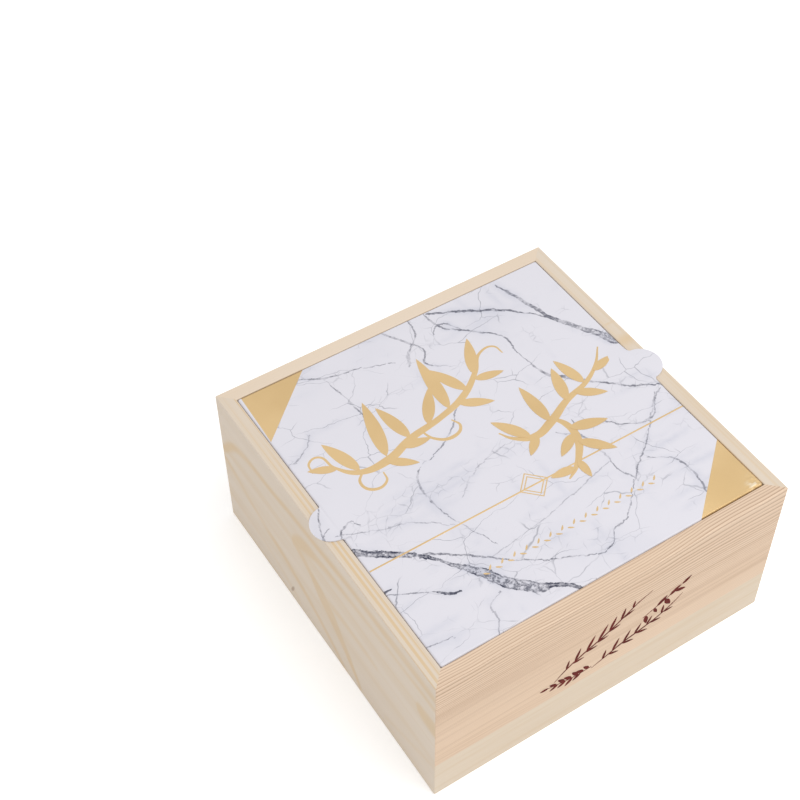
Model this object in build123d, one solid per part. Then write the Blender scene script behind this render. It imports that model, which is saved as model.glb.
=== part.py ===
from build123d import *
import os

# Keepsake card box: a square pine box with a lift-off paper-covered lid.
# Millimetres, +Z up. The origin is on the floor under the middle of the box.
# The front wall faces -Y, the left wall faces -X.

# ---- the wooden box ----
box_width = 250.0            # left to right, outside the walls
box_depth = 250.0            # front to back, outside the walls
box_height = 120.0           # floor to rim
wall_thickness = 10.0
lower_board_height = 34.5    # narrow board glued under the wide one in the front and back walls
edge_easing = 0.8            # radius sanded on the outside corners and along the rim and foot

# ---- the base panel, let into the walls from below ----
base_thickness = 4.0
base_rabbet = 5.0            # how far the panel reaches into the wall
base_clearance = 0.3         # between the panel's edge and the rabbet

# ---- the ledge strips that carry the lid ----
ledge_width = 8.0
ledge_height = 8.0
ledge_easing = 1.0           # radius on the strip's free lower edge

# ---- the lid ----
core_thickness = 2.0         # greyboard that drops between the walls
lid_clearance = 0.5          # between the lid's edge and the wall, all round
cover_thickness = 0.8        # printed card glued on top, level with the rim
cover_rounding = 0.5         # radius of the cover's rolled top edge
corner_rounding = 1.2        # radius of the lid's corners seen from above
liner_thickness = 0.3        # paper glued under the greyboard
liner_margin = 4.0           # how far the liner stops short of the greyboard's edge

# ---- the two half-round finger tabs of the cover, one at the left and one at the right ----
tab_overhang = 3.0           # past the outside face of the wall
tab_gap = 0.2                # between a tab's underside and the rim
tab_rounding = 0.3           # radius along a tab's top edge
tab_root_radius = 1.5        # hollow corner where a tab leaves the lid's edge
tab_ramp_run = 6.0           # over which the cover rises from the lid's level to the tab's

# ---- sizes that follow from the ones above ----
inner_width = box_width - 2 * wall_thickness
inner_depth = box_depth - 2 * wall_thickness
lid_width = inner_width - 2 * lid_clearance
lid_depth = inner_depth - 2 * lid_clearance
cover_top = box_height
core_top = cover_top - cover_thickness
core_bottom = core_top - core_thickness
ledge_top = core_bottom - liner_thickness
tab_bottom = box_height + tab_gap
tab_top = tab_bottom + cover_thickness
tab_radius = lid_clearance + wall_thickness + tab_overhang

SIDE_ANGLES = {"front": 0, "right": 90, "back": 180, "left": 270}


def upright_block(width, depth, bottom, top):
    """A block centred on the origin in plan, from one height to another."""
    block = Box(width, depth, top - bottom, align=(Align.CENTER, Align.CENTER, Align.MIN))
    return Pos(0, 0, bottom) * block


def mitred_share(side, shape, reach):
    """The share of a rectangular ring that one side's piece takes, between two 45 degree mitres.

    reach is how far the ring goes in from the outside faces of the walls.
    """
    facing_x = side in ("left", "right")
    run = box_depth if facing_x else box_width
    outward = (box_width if facing_x else box_depth) / 2
    spare = 1.0
    outline = Polyline(
        (-run / 2 - spare, -outward - spare),
        (run / 2 + spare, -outward - spare),
        (run / 2 - reach - spare, -outward + reach + spare),
        (-run / 2 + reach + spare, -outward + reach + spare),
        close=True,
    )
    wedge = extrude(make_face(outline), amount=box_height)
    turned = Rot(0, 0, SIDE_ANGLES[side]) * wedge
    return shape & turned


def horizontal_edges(shape, height):
    """The edges that lie at one height."""
    return shape.edges().filter_by_position(Axis.Z, height - 0.01, height + 0.01)


def wall_ring():
    """All four walls as one ring with eased edges and the rabbet for the base, before the mitre cuts."""
    ring = upright_block(box_width, box_depth, 0, box_height)
    ring -= upright_block(inner_width, inner_depth, 0, box_height)
    upright_edges = ring.edges().filter_by(Axis.Z)
    outside_corners = [edge for edge in upright_edges if abs((edge @ 0.5).X) > inner_width / 2 + 0.01]
    ring = fillet(outside_corners, edge_easing)
    ring = fillet(horizontal_edges(ring, box_height), edge_easing)
    foot = horizontal_edges(ring, 0)
    outer_foot = [edge for edge in foot if lies_outside_rabbet(edge)]
    ring = fillet(outer_foot, edge_easing)
    rabbet_width = inner_width + 2 * base_rabbet
    rabbet_depth = inner_depth + 2 * base_rabbet
    return ring - upright_block(rabbet_width, rabbet_depth, 0, base_thickness)


def lies_outside_rabbet(edge):
    """Whether a foot edge belongs to the outside faces of the walls."""
    middle = edge @ 0.5
    past_x = abs(middle.X) > inner_width / 2 + base_rabbet
    past_y = abs(middle.Y) > inner_depth / 2 + base_rabbet
    return past_x or past_y


def split_into_boards(wall):
    """The wide upper board and the narrow lower board of a wall glued up from two."""
    below = upright_block(2 * box_width, 2 * box_depth, 0, lower_board_height)
    return wall - below, wall & below


def base_panel():
    """The plywood base, flush with the foot of the walls."""
    width = inner_width + 2 * (base_rabbet - base_clearance)
    depth = inner_depth + 2 * (base_rabbet - base_clearance)
    return upright_block(width, depth, 0, base_thickness)


def ledge_ring():
    """All four ledge strips as one ring glued inside the walls, before the mitre cuts."""
    bottom = ledge_top - ledge_height
    mouth_width = inner_width - 2 * ledge_width
    mouth_depth = inner_depth - 2 * ledge_width
    ring = upright_block(inner_width, inner_depth, bottom, ledge_top)
    ring -= upright_block(mouth_width, mouth_depth, bottom, ledge_top)
    free_edges = [edge for edge in horizontal_edges(ring, bottom) if lies_at_mouth(edge)]
    return fillet(free_edges, ledge_easing)


def lies_at_mouth(edge):
    """Whether a ledge edge runs round the mouth rather than along the walls."""
    middle = edge @ 0.5
    return abs(middle.X) < inner_width / 2 - 0.01 and abs(middle.Y) < inner_depth / 2 - 0.01


def lid_core():
    """The greyboard that drops into the opening and rests, through its liner, on the ledges."""
    core = upright_block(lid_width, lid_depth, core_bottom, core_top)
    return fillet(core.edges().filter_by(Axis.Z), corner_rounding)


def lid_liner():
    """The paper that finishes the underside of the lid."""
    width = lid_width - 2 * liner_margin
    depth = lid_depth - 2 * liner_margin
    return upright_block(width, depth, ledge_top, core_bottom)


def tab_plates():
    """The two half-round finger tabs, as far in as the lid's edge."""
    panel = Rectangle(lid_width, lid_depth)
    outline = panel + [Pos(side * lid_width / 2, 0) * Circle(tab_radius) for side in (-1, 1)]
    roots = [corner for corner in outline.vertices() if lies_at_tab_root(corner)]
    outline = fillet(roots, tab_root_radius)
    tabs = extrude(Pos(0, 0, tab_bottom) * (outline - panel), amount=cover_thickness)
    rounded = [edge for edge in horizontal_edges(tabs, tab_top) if abs((edge @ 0.5).X) > lid_width / 2 + 0.01]
    return fillet(rounded, tab_rounding)


def lies_at_tab_root(corner):
    """Whether a corner of the lid's outline is where a tab leaves its edge."""
    on_edge = abs(abs(corner.X) - lid_width / 2) < 0.01
    at_tab = abs(abs(corner.Y) - tab_radius) < 0.01
    return on_edge and at_tab


def tab_ramp():
    """The shallow rise of the cover up to the level of the right-hand tab."""
    edge = lid_width / 2
    outline = Polyline(
        (edge - tab_ramp_run, core_top),
        (edge, core_top),
        (edge, tab_top),
        (edge - tab_ramp_run, cover_top),
        close=True,
    )
    half_length = tab_radius + tab_root_radius
    return extrude(Plane.XZ * make_face(outline), amount=half_length, both=True)


def lid_cover():
    """The printed card on top of the greyboard, with a half-round finger tab at each side."""
    plate = upright_block(lid_width, lid_depth, core_top, cover_top)
    plate = fillet(plate.edges().filter_by(Axis.Z), corner_rounding)
    plate = fillet(horizontal_edges(plate, cover_top), cover_rounding)
    right_ramp = tab_ramp()
    return plate + right_ramp + mirror(right_ramp, Plane.YZ) + tab_plates()


def build_parts():
    """Every piece of the box, by the name of its node."""
    parts = {}
    walls = wall_ring()
    ledges = ledge_ring()
    for side in ("front", "back"):
        wall = mitred_share(side, walls, wall_thickness)
        upper, lower = split_into_boards(wall)
        parts[side + "_board_upper"] = upper
        parts[side + "_board_lower"] = lower
    for side in ("left", "right"):
        parts[side + "_board"] = mitred_share(side, walls, wall_thickness)
    for side in SIDE_ANGLES:
        parts["ledge_" + side] = mitred_share(side, ledges, wall_thickness + ledge_width)
    parts["base_panel"] = base_panel()
    parts["lid_core"] = lid_core()
    parts["lid_cover"] = lid_cover()
    parts["lid_liner"] = lid_liner()
    return parts


os.makedirs("parts", exist_ok=True)
for name, part in build_parts().items():
    export_step(part, "parts/" + name + ".step")
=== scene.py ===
"""A square pine card box with a marble-print lid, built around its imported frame.

Lengths that describe artwork and grain are in millimetres, measured from the box's front left
foot: across to the right, deep towards the back, and up. Everything in the scene is in metres.
"""

import logging
import math
from contextlib import contextmanager
from dataclasses import dataclass
from enum import Enum
from typing import Callable, Iterator, Sequence

import bmesh
import bpy
from mathutils import Matrix, Vector

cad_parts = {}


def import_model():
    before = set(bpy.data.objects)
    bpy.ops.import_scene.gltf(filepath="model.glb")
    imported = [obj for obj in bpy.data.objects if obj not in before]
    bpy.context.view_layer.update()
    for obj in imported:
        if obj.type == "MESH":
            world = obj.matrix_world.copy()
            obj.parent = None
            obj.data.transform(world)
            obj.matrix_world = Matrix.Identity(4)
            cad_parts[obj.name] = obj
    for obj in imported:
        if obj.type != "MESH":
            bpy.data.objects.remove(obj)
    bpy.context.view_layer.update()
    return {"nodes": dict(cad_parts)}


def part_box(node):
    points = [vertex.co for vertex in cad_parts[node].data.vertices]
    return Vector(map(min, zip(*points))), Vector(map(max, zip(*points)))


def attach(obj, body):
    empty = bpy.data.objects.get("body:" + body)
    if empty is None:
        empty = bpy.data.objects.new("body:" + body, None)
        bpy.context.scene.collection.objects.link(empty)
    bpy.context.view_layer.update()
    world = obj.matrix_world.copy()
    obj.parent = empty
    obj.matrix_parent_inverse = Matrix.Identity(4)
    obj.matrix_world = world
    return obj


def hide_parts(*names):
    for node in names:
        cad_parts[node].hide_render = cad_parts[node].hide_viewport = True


MM = 0.001
COARSE = 1e-4  # in metres, how near to a plane or to each other corners count as one
TINY = 1e-5
MERGE = 1e-6

log = logging.getLogger("card_box")

Triple = tuple[float, float, float]
Colour = Triple
Curve = tuple[tuple[float, float], ...]
Socket = bpy.types.NodeSocket
Thing = bpy.types.Object


class Run(Enum):
    """The way along which a painted mark is followed."""

    ACROSS = "across"
    DEEP = "deep"


class Element(Enum):
    """What is chosen in edit mode."""

    CORNERS = "VERT"
    EDGES = "EDGE"
    FACES = "FACE"


class Wall(Enum):
    """The four walls, as their nodes are named."""

    FRONT = "front"
    BACK = "back"
    LEFT = "left"
    RIGHT = "right"


# ---------------------------------------------------------------- workbench


@contextmanager
def editing(piece: Thing) -> Iterator[None]:
    """Work on one piece in edit mode, with nothing of it chosen at first.

    Args:
        piece: The mesh object to work on.
    """
    choose_only(piece)
    bpy.ops.object.mode_set(mode="EDIT")
    bpy.ops.mesh.select_mode(type=Element.CORNERS.value)
    bpy.ops.mesh.select_all(action="DESELECT")
    yield
    bpy.ops.object.mode_set(mode="OBJECT")


def choose_only(piece: Thing) -> None:
    """Choose one object and nothing else.

    Args:
        piece: The object.
    """
    bpy.ops.object.select_all(action="DESELECT")
    piece.select_set(True)
    bpy.context.view_layer.objects.active = piece


def pick(kind: Element, test: Callable[[Vector, Vector], bool]) -> int:
    """Choose the corners, edges or faces of the piece being edited that pass a test.

    Args:
        kind: What to choose.
        test: Called with an element's middle and its normal.

    Returns:
        How many passed.
    """
    bpy.ops.mesh.select_mode(type=kind.value)
    bpy.ops.mesh.select_all(action="DESELECT")
    mesh = bpy.context.object.data
    shape = bmesh.from_edit_mesh(mesh)
    shape.normal_update()
    if kind is Element.CORNERS:
        found = [(v, v.co, v.normal) for v in shape.verts]
    elif kind is Element.EDGES:
        found = [(e, (e.verts[0].co + e.verts[1].co) / 2, e.verts[0].normal) for e in shape.edges]
    else:
        found = [(f, f.calc_center_median(), f.normal) for f in shape.faces]
    chosen = [element for element, middle, normal in found if test(middle, normal)]
    for element in chosen:
        element.select = True
    shape.select_flush_mode()
    bmesh.update_edit_mesh(mesh)
    return len(chosen)


def pick_all() -> None:
    """Choose the whole of the piece being edited."""
    bpy.ops.mesh.select_all(action="SELECT")


def cut(
    point: Sequence[float], across: Sequence[float], threshold: float, **clear: bool
) -> None:
    """Cut the whole of the piece being edited along a plane.

    Args:
        point: A point of the plane.
        across: The plane's normal.
        threshold: How near the plane a corner counts as lying on it, in metres.
        clear: clear_outer or clear_inner, to throw one side away.
    """
    pick_all()
    bpy.ops.mesh.bisect(plane_co=point, plane_no=across, threshold=threshold, **clear)


def face_up() -> None:
    """Turn the faces of a flat sheet that look down, so that all look up."""
    if pick(Element.FACES, lambda _, normal: normal.z < 0):
        bpy.ops.mesh.flip_normals()


def place_into_mesh(piece: Thing, name: str) -> Thing:
    """Put an object's place, turn and size into its mesh, and name it.

    Args:
        piece: The object.
        name: Its name from now on.

    Returns:
        The same object.
    """
    choose_only(piece)
    bpy.ops.object.transform_apply(location=True, rotation=True, scale=True)
    piece.name = name
    piece.data.name = name
    return piece


def copy_of(piece: Thing, name: str, matrix: Matrix) -> Thing:
    """A copy of a piece with its own mesh, moved by a matrix.

    Args:
        piece: The pattern.
        name: The copy's name.
        matrix: Where the copy goes; a mirror turns its faces round again.

    Returns:
        The copy.
    """
    twin = piece.copy()
    twin.data = piece.data.copy()
    bpy.context.scene.collection.objects.link(twin)
    twin.data.transform(matrix)
    twin.name = name
    twin.data.name = name
    if matrix.determinant() < 0:
        with editing(twin):
            pick_all()
            bpy.ops.mesh.flip_normals()
    return twin


def join_all(pieces: Sequence[Thing], name: str) -> Thing:
    """Join pieces into one object.

    Args:
        pieces: The objects to join, at least one.
        name: The name of the whole.

    Returns:
        The joined object.
    """
    bpy.ops.object.select_all(action="DESELECT")
    for piece in pieces:
        piece.select_set(True)
    bpy.context.view_layer.objects.active = pieces[0]
    if len(pieces) > 1:
        bpy.ops.object.join()
    pieces[0].name = name
    pieces[0].data.name = name
    return pieces[0]


def thicken(piece: Thing, thickness: float, offset: float = 1.0) -> None:
    """Give a sheet its thickness.

    Args:
        piece: The sheet.
        thickness: How thick, in metres.
        offset: 1 to grow along the normals, -1 to grow against them.
    """
    choose_only(piece)
    wall = piece.modifiers.new("thickness", "SOLIDIFY")
    wall.thickness = thickness
    wall.offset = offset
    bpy.ops.object.modifier_apply(modifier=wall.name)


def smooth(piece: Thing, degrees: float = 35.0) -> None:
    """Shade a piece smooth, except across edges sharper than an angle."""
    choose_only(piece)
    bpy.ops.object.shade_smooth_by_angle(angle=math.radians(degrees))


def dress(piece: Thing, material: bpy.types.Material) -> None:
    """Give a piece one material and nothing else."""
    piece.data.materials.clear()
    piece.data.materials.append(material)


# ---------------------------------------------------------------- sizes from the frame


@dataclass(frozen=True)
class BoxSizes:
    """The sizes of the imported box, in metres.

    Attributes:
        width: Outside width, left to right.
        depth: Outside depth, front to back.
        rim: Height of the rim above the floor.
        core_half_width: Half the width of the lid's greyboard.
        core_half_depth: Half the depth of the lid's greyboard.
        core_bottom: Height of the greyboard's underside.
        core_top: Height of the greyboard's top.
        tab_tip: How far from the middle the finger tabs reach.
        tab_top: Height of the finger tabs' top.
    """

    width: float
    depth: float
    rim: float
    core_half_width: float
    core_half_depth: float
    core_bottom: float
    core_top: float
    tab_tip: float
    tab_top: float

    @classmethod
    def from_frame(cls) -> "BoxSizes":
        """Read the sizes off the CAD nodes.

        Returns:
            The sizes.
        """
        front_low, front_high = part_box("front_board_upper")
        back_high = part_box("back_board_upper")[1]
        left_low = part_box("left_board")[0]
        core_low, core_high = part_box("lid_core")
        cover_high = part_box("lid_cover")[1]
        return cls(
            width=-2 * left_low.x,
            depth=back_high.y - front_low.y,
            rim=front_high.z,
            core_half_width=core_high.x,
            core_half_depth=core_high.y,
            core_bottom=core_low.z,
            core_top=core_high.z,
            tab_tip=cover_high.x,
            tab_top=cover_high.z,
        )

    def spot(self, across: float, deep: float, up: float = 0.0) -> Vector:
        """A point given in millimetres from the front left foot, in the scene's metres."""
        return Vector((across * MM - self.width / 2, deep * MM - self.depth / 2, up * MM))

    @property
    def foot(self) -> Triple:
        """The front left foot of the box, in metres."""
        return tuple(self.spot(0, 0))


# ---------------------------------------------------------------- material steps


def opaque(colour: Socket | Sequence[float]) -> Socket | Sequence[float]:
    """A colour with its alpha added, or a socket as it is.

    Args:
        colour: The colour or socket.

    Returns:
        What a colour input takes.
    """
    if isinstance(colour, bpy.types.NodeSocket) or len(colour) == 4:
        return colour
    return (*colour, 1.0)


class Recipe:
    """One material's nodes, with short calls for the steps that the finishes share."""

    MIX_FACTOR, MIX_FIRST, MIX_SECOND, MIX_COLOUR = 0, 6, 7, 2
    MIDDLE_GREY = (0.5, 0.5, 0.5)

    def __init__(self, name: str) -> None:
        """Start a material.

        Args:
            name: The material's name.
        """
        self.material = bpy.data.materials.new(name)
        self.material.use_nodes = True
        self.nodes = self.material.node_tree.nodes
        self.links = self.material.node_tree.links
        self.shader = self.nodes["Principled BSDF"]
        self.place = self.nodes.new("ShaderNodeTexCoord").outputs["Object"]

    def feed(self, source: Socket | float | Sequence[float], port: Socket) -> None:
        """Link a socket to an input, or set the input to a value.

        Args:
            source: The socket or the value.
            port: The input.
        """
        if isinstance(source, bpy.types.NodeSocket):
            self.links.new(source, port)
        else:
            port.default_value = source

    def math(self, operation: str, *terms: Socket | float) -> Socket:
        """One sum, product or other step on numbers.

        Args:
            operation: The Math node's operation.
            terms: Its inputs, in order.

        Returns:
            The result.
        """
        node = self.nodes.new("ShaderNodeMath")
        node.operation = operation
        for term, port in zip(terms, node.inputs):
            self.feed(term, port)
        return node.outputs[0]

    def vector(self, operation: str, *terms: Socket | Sequence[float]) -> Socket:
        """One step on vectors.

        Args:
            operation: The Vector Math node's operation.
            terms: Its inputs, in order.

        Returns:
            The result.
        """
        node = self.nodes.new("ShaderNodeVectorMath")
        node.operation = operation
        for term, port in zip(terms, node.inputs):
            self.feed(term, port)
        return node.outputs[0]

    def split(self, source: Socket) -> tuple[Socket, Socket, Socket]:
        """The X, Y and Z of a vector.

        Args:
            source: The vector.

        Returns:
            Its three parts.
        """
        node = self.nodes.new("ShaderNodeSeparateXYZ")
        self.feed(source, node.inputs[0])
        return node.outputs[0], node.outputs[1], node.outputs[2]

    def stretched(
        self, source: Socket, scale: Triple, shift: Triple = (0, 0, 0), turn: float = 0.0
    ) -> Socket:
        """Coordinates scaled by a different amount each way, turned about Z, then shifted.

        Args:
            source: The coordinates.
            scale: The scale each way.
            shift: What is added each way.
            turn: The turn, in radians.

        Returns:
            The new coordinates.
        """
        node = self.nodes.new("ShaderNodeMapping")
        self.feed(source, node.inputs["Vector"])
        node.inputs["Scale"].default_value = scale
        node.inputs["Rotation"].default_value = (0, 0, turn)
        node.inputs["Location"].default_value = shift
        return node.outputs[0]

    def noise(
        self, source: Socket, scale: float, detail: float = 3.0, roughness: float = 0.5
    ) -> Socket:
        """Cloudy noise from 0 to 1, with the noise node's own scale, detail and roughness."""
        return self._noise_node(source, scale, detail, roughness).outputs["Fac"]

    def noise_vector(
        self, source: Socket, scale: float, detail: float, roughness: float
    ) -> Socket:
        """Three independent noises about zero, as a vector."""
        colour = self._noise_node(source, scale, detail, roughness).outputs["Color"]
        return self.vector("SUBTRACT", colour, self.MIDDLE_GREY)

    def _noise_node(
        self, source: Socket, scale: float, detail: float, roughness: float
    ) -> bpy.types.Node:
        """A noise texture node with its sockets set.

        Args:
            source: The coordinates.
            scale: How fine the noise is, per unit of the coordinates.
            detail: How many finer layers lie on it.
            roughness: How strong the finer layers are.

        Returns:
            The node.
        """
        node = self.nodes.new("ShaderNodeTexNoise")
        self.feed(source, node.inputs["Vector"])
        node.inputs["Scale"].default_value = scale
        node.inputs["Detail"].default_value = detail
        node.inputs["Roughness"].default_value = roughness
        return node

    def cracks(self, source: Socket) -> Socket:
        """The distance to the nearest border between random cells about a unit wide.

        Args:
            source: The coordinates.

        Returns:
            The distance.
        """
        node = self.nodes.new("ShaderNodeTexVoronoi")
        node.feature = "DISTANCE_TO_EDGE"
        self.feed(source, node.inputs["Vector"])
        node.inputs["Scale"].default_value = 1.0
        return node.outputs["Distance"]

    def shards(self, source: Socket, scale: float) -> Socket:
        """One random vector about zero for each random cell.

        Args:
            source: The coordinates.
            scale: How fine the cells are, per unit of the coordinates.

        Returns:
            The vector.
        """
        node = self.nodes.new("ShaderNodeTexVoronoi")
        self.feed(source, node.inputs["Vector"])
        node.inputs["Scale"].default_value = scale
        return self.vector("SUBTRACT", node.outputs["Color"], self.MIDDLE_GREY)

    def ease(
        self, source: Socket, start: float, end: float, low: float = 0.0, high: float = 1.0
    ) -> Socket:
        """A smooth step.

        Args:
            source: The number that drives it.
            start: Where the step begins.
            end: Where the step ends.
            low: The result up to the start.
            high: The result from the end.

        Returns:
            The result.
        """
        node = self.nodes.new("ShaderNodeMapRange")
        node.interpolation_type = "SMOOTHSTEP"
        self.feed(source, node.inputs["Value"])
        node.inputs["From Min"].default_value = start
        node.inputs["From Max"].default_value = end
        node.inputs["To Min"].default_value = low
        node.inputs["To Max"].default_value = high
        return node.outputs[0]

    def blend(
        self, factor: Socket | float, first: Socket | Colour, second: Socket | Colour
    ) -> Socket:
        """A colour between two colours.

        Args:
            factor: 0 for the first, 1 for the second.
            first: The first colour.
            second: The second colour.

        Returns:
            The blended colour.
        """
        node = self.nodes.new("ShaderNodeMix")
        node.data_type = "RGBA"
        self.feed(factor, node.inputs[self.MIX_FACTOR])
        self.feed(opaque(first), node.inputs[self.MIX_FIRST])
        self.feed(opaque(second), node.inputs[self.MIX_SECOND])
        return node.outputs[self.MIX_COLOUR]

    def follow(self, source: Socket, points: Sequence[tuple[float, float]]) -> Socket:
        """A smooth curve through points that lie within 0 and 1 both ways.

        Args:
            source: The number that runs along the curve.
            points: An output for each of several inputs, in order.

        Returns:
            The curve's output.
        """
        node = self.nodes.new("ShaderNodeFloatCurve")
        self.feed(source, node.inputs["Value"])
        node.mapping.extend = "HORIZONTAL"
        line = node.mapping.curves[0]
        line.points[0].location = points[0]
        line.points[1].location = points[-1]
        for point in points[1:-1]:
            line.points.new(*point)
        for point in line.points:
            point.handle_type = "AUTO_CLAMPED"
        node.mapping.update()
        return node.outputs[0]

    def greatest(self, tones: Sequence[Socket]) -> Socket:
        """The greatest of several numbers at each point.

        Args:
            tones: The numbers, at least one.

        Returns:
            The greatest.
        """
        total = tones[0]
        for tone in tones[1:]:
            total = self.math("MAXIMUM", total, tone)
        return total

    def relief(self, height: Socket, distance: float, strength: float = 1.0) -> None:
        """Shade the surface as if it rose and fell.

        Args:
            height: The height, from 0 to 1.
            distance: How high 1 stands, in metres.
            strength: How strongly it is shaded.
        """
        node = self.nodes.new("ShaderNodeBump")
        node.inputs["Distance"].default_value = distance
        node.inputs["Strength"].default_value = strength
        self.feed(height, node.inputs["Height"])
        self.links.new(node.outputs[0], self.shader.inputs["Normal"])

    def finish(self, **sockets: Socket | float | Colour) -> bpy.types.Material:
        """Set the shader's sockets and hand over the material.

        Args:
            sockets: What each socket gets, by its name with underscores for spaces.

        Returns:
            The material.
        """
        for name, source in sockets.items():
            port = self.shader.inputs[name.replace("_", " ")]
            self.feed(opaque(source) if port.type == "RGBA" else source, port)
        return self.material


# ---------------------------------------------------------------- painted marks


@dataclass(frozen=True)
class Mark:
    """A soft-edged line of varying width, as a vein in stone or a band in wood.

    Its lengths are worked with as shares of a span that covers the whole box and a margin.

    Attributes:
        points: (along, aside, width) at each point it passes, in millimetres. With Run.ACROSS
            the points go to the right and aside is the other way; with Run.DEEP they go back.
        run: The way along which it is followed.
        depth: How dark it is, from 0 to 1.
    """

    points: tuple[Triple, ...]
    run: Run = Run.ACROSS
    depth: float = 1.0

    SPAN = 290.0  # millimetres that the shares cover
    MARGIN = 20.0  # of them before the box's corner
    WIDEST = 22.0  # the width, in millimetres, that a share of 1 stands for
    HIDDEN = 2.0  # the part of that width that stays unpainted, so that an end closes
    END_STEPS = (1, 4)  # how many times HIDDEN past an end the width is already nothing
    FINENESS = 0.88  # a thin line's width against the one given
    HEAVY = 4.0  # width from which a line has a paler heart, in millimetres
    LASTING = 0.9  # depth from which a thin line never fades

    @property
    def heavy(self) -> bool:
        """Whether it is wide enough to have a paler heart between dark edges."""
        return max(width for _, _, width in self.points) > self.HEAVY

    @classmethod
    def share(cls, length: float) -> float:
        """A length from the corner as a share of the span that the curves cover."""
        return (length + cls.MARGIN) / cls.SPAN

    def centre_line(self) -> list[tuple[float, float]]:
        """The line's course, as shares of the span."""
        return [(self.share(along), self.share(aside)) for along, aside, _ in sorted(self.points)]

    def widths(self) -> list[tuple[float, float]]:
        """The line's width measured aside, so that slanted stretches keep their true width.

        Returns:
            A share of the widest for each of several shares of the span.
        """
        course = sorted(self.points)
        first, last = course[0][0], course[-1][0]
        fineness = 1.0 if self.heavy else self.FINENESS
        shares = [(self.share(first - s * self.HIDDEN), 0.0) for s in reversed(self.END_STEPS)]
        for number, (along, _, width) in enumerate(course):
            before = course[max(number - 1, 0)]
            after = course[min(number + 1, len(course) - 1)]
            slope = (after[1] - before[1]) / (after[0] - before[0])
            aside_width = fineness * width * math.hypot(1.0, slope) + self.HIDDEN
            shares.append((self.share(along), min(aside_width, self.WIDEST) / self.WIDEST))
        return shares + [(self.share(last + s * self.HIDDEN), 0.0) for s in self.END_STEPS]

    def distance(self, recipe: Recipe, along: Socket, aside: Socket) -> Socket:
        """How far a point lies outside the line's edge, as a share of the span.

        Args:
            recipe: The material that it is painted in.
            along: Shares of the span along the run.
            aside: Shares of the span the other way.

        Returns:
            The distance, which is negative inside the line.
        """
        centre = recipe.follow(along, self.centre_line())
        width = recipe.follow(along, self.widths())
        off_centre = recipe.math("ABSOLUTE", recipe.math("SUBTRACT", aside, centre))
        half = recipe.math(
            "MULTIPLY_ADD", width, self.WIDEST / self.SPAN / 2, -self.HIDDEN / self.SPAN / 2
        )
        return recipe.math("SUBTRACT", off_centre, half)

    @classmethod
    def edge(
        cls, recipe: Recipe, outside: Socket, start: float, end: float, low: float, high: float
    ) -> Socket:
        """A smooth step across a line's edge.

        Args:
            recipe: The material.
            outside: The distance outside the edge, as a share of the span.
            start: Where the step begins, in millimetres outside the edge.
            end: Where it ends, in millimetres.
            low: The result up to the start.
            high: The result from the end.

        Returns:
            The result.
        """
        return recipe.ease(outside, start / cls.SPAN, end / cls.SPAN, low, high)


def shares_of(recipe: Recipe, place: Socket, corner: Triple) -> Socket:
    """Coordinates as shares of the marks' span, from the box's front left foot.

    Args:
        recipe: The material.
        place: Coordinates in metres.
        corner: The front left foot, in metres.

    Returns:
        The shares.
    """
    scale = 1.0 / (Mark.SPAN * MM)
    shift = [Mark.MARGIN / Mark.SPAN - part * scale for part in corner]
    return recipe.stretched(place, (scale, scale, scale), tuple(shift))


# ---------------------------------------------------------------- finishes


@dataclass(frozen=True)
class PineFinish:
    """Bare planed pine, with fine fibres along the board and a figure of its own kind.

    Attributes:
        name: The material's name.
        pale: The early wood.
        dark: The late wood and the bands.
        fibres: How tightly the fibres are packed each way, per metre.
        seed: Shifts the noise, so that no two boards match.
        streak: How dark the fibres' streaks are, from 0 to 1.
    """

    name: str
    pale: Colour
    dark: Colour
    fibres: Triple
    seed: float
    streak: float = 0.30

    HAIR_FINENESS = 3.2  # how much finer the hairs are than the fibres
    WARMER = (0.90, 0.84, 0.76)  # the warm clouds' share of the pale colour
    PALER = 1.07  # the hairs' share of the pale colour
    TOOTH = 0.00006  # height of the raised grain, in metres

    def figure(self, recipe: Recipe) -> Socket:
        """The darkness of the growth rings, from 0 to 1."""
        return recipe.noise(recipe.place, 20.0)

    def touch_up(self, recipe: Recipe, wood: Socket) -> Socket:
        """Last changes to the wood's colour, for the kinds of pine that have some."""
        return wood

    def make(self) -> bpy.types.Material:
        """Build the material.

        Returns:
            The material.
        """
        recipe = Recipe(self.name)
        shift = (self.seed, self.seed * 2, self.seed * 3)
        streaks = recipe.noise(recipe.stretched(recipe.place, self.fibres, shift), 1.0, 4.0, 0.55)
        hair_scale = tuple(self.HAIR_FINENESS * part for part in self.fibres)
        hairs = recipe.noise(recipe.stretched(recipe.place, hair_scale, shift), 1.0, 2.0, 0.6)
        clouds = recipe.noise(recipe.stretched(recipe.place, (9, 9, 12), shift), 1.0, 2.0, 0.5)
        figure = self.figure(recipe)
        wood = recipe.blend(figure, self.pale, self.dark)
        deeper = tuple(part * shade for part, shade in zip(self.pale, self.WARMER))
        warmth = recipe.ease(clouds, 0.35, 0.70, 0.0, 0.45)
        wood = recipe.blend(warmth, wood, recipe.blend(0.5, wood, deeper))
        wood = recipe.blend(recipe.ease(streaks, 0.45, 0.68, 0.0, self.streak), wood, self.dark)
        paler = tuple(min(1.0, part * self.PALER) for part in self.pale)
        wood = recipe.blend(recipe.ease(hairs, 0.50, 0.75, 0.0, 0.25), wood, paler)
        # For the walls, touch_up also paints top light onto the rim.
        wood = self.touch_up(recipe, wood)
        gloss = recipe.ease(streaks, 0.3, 0.7, 0.50, 0.62)
        recipe.relief(recipe.math("ADD", hairs, figure), self.TOOTH, 0.5)
        return recipe.finish(Base_Color=wood, Roughness=gloss, Specular_IOR_Level=0.35)


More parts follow.
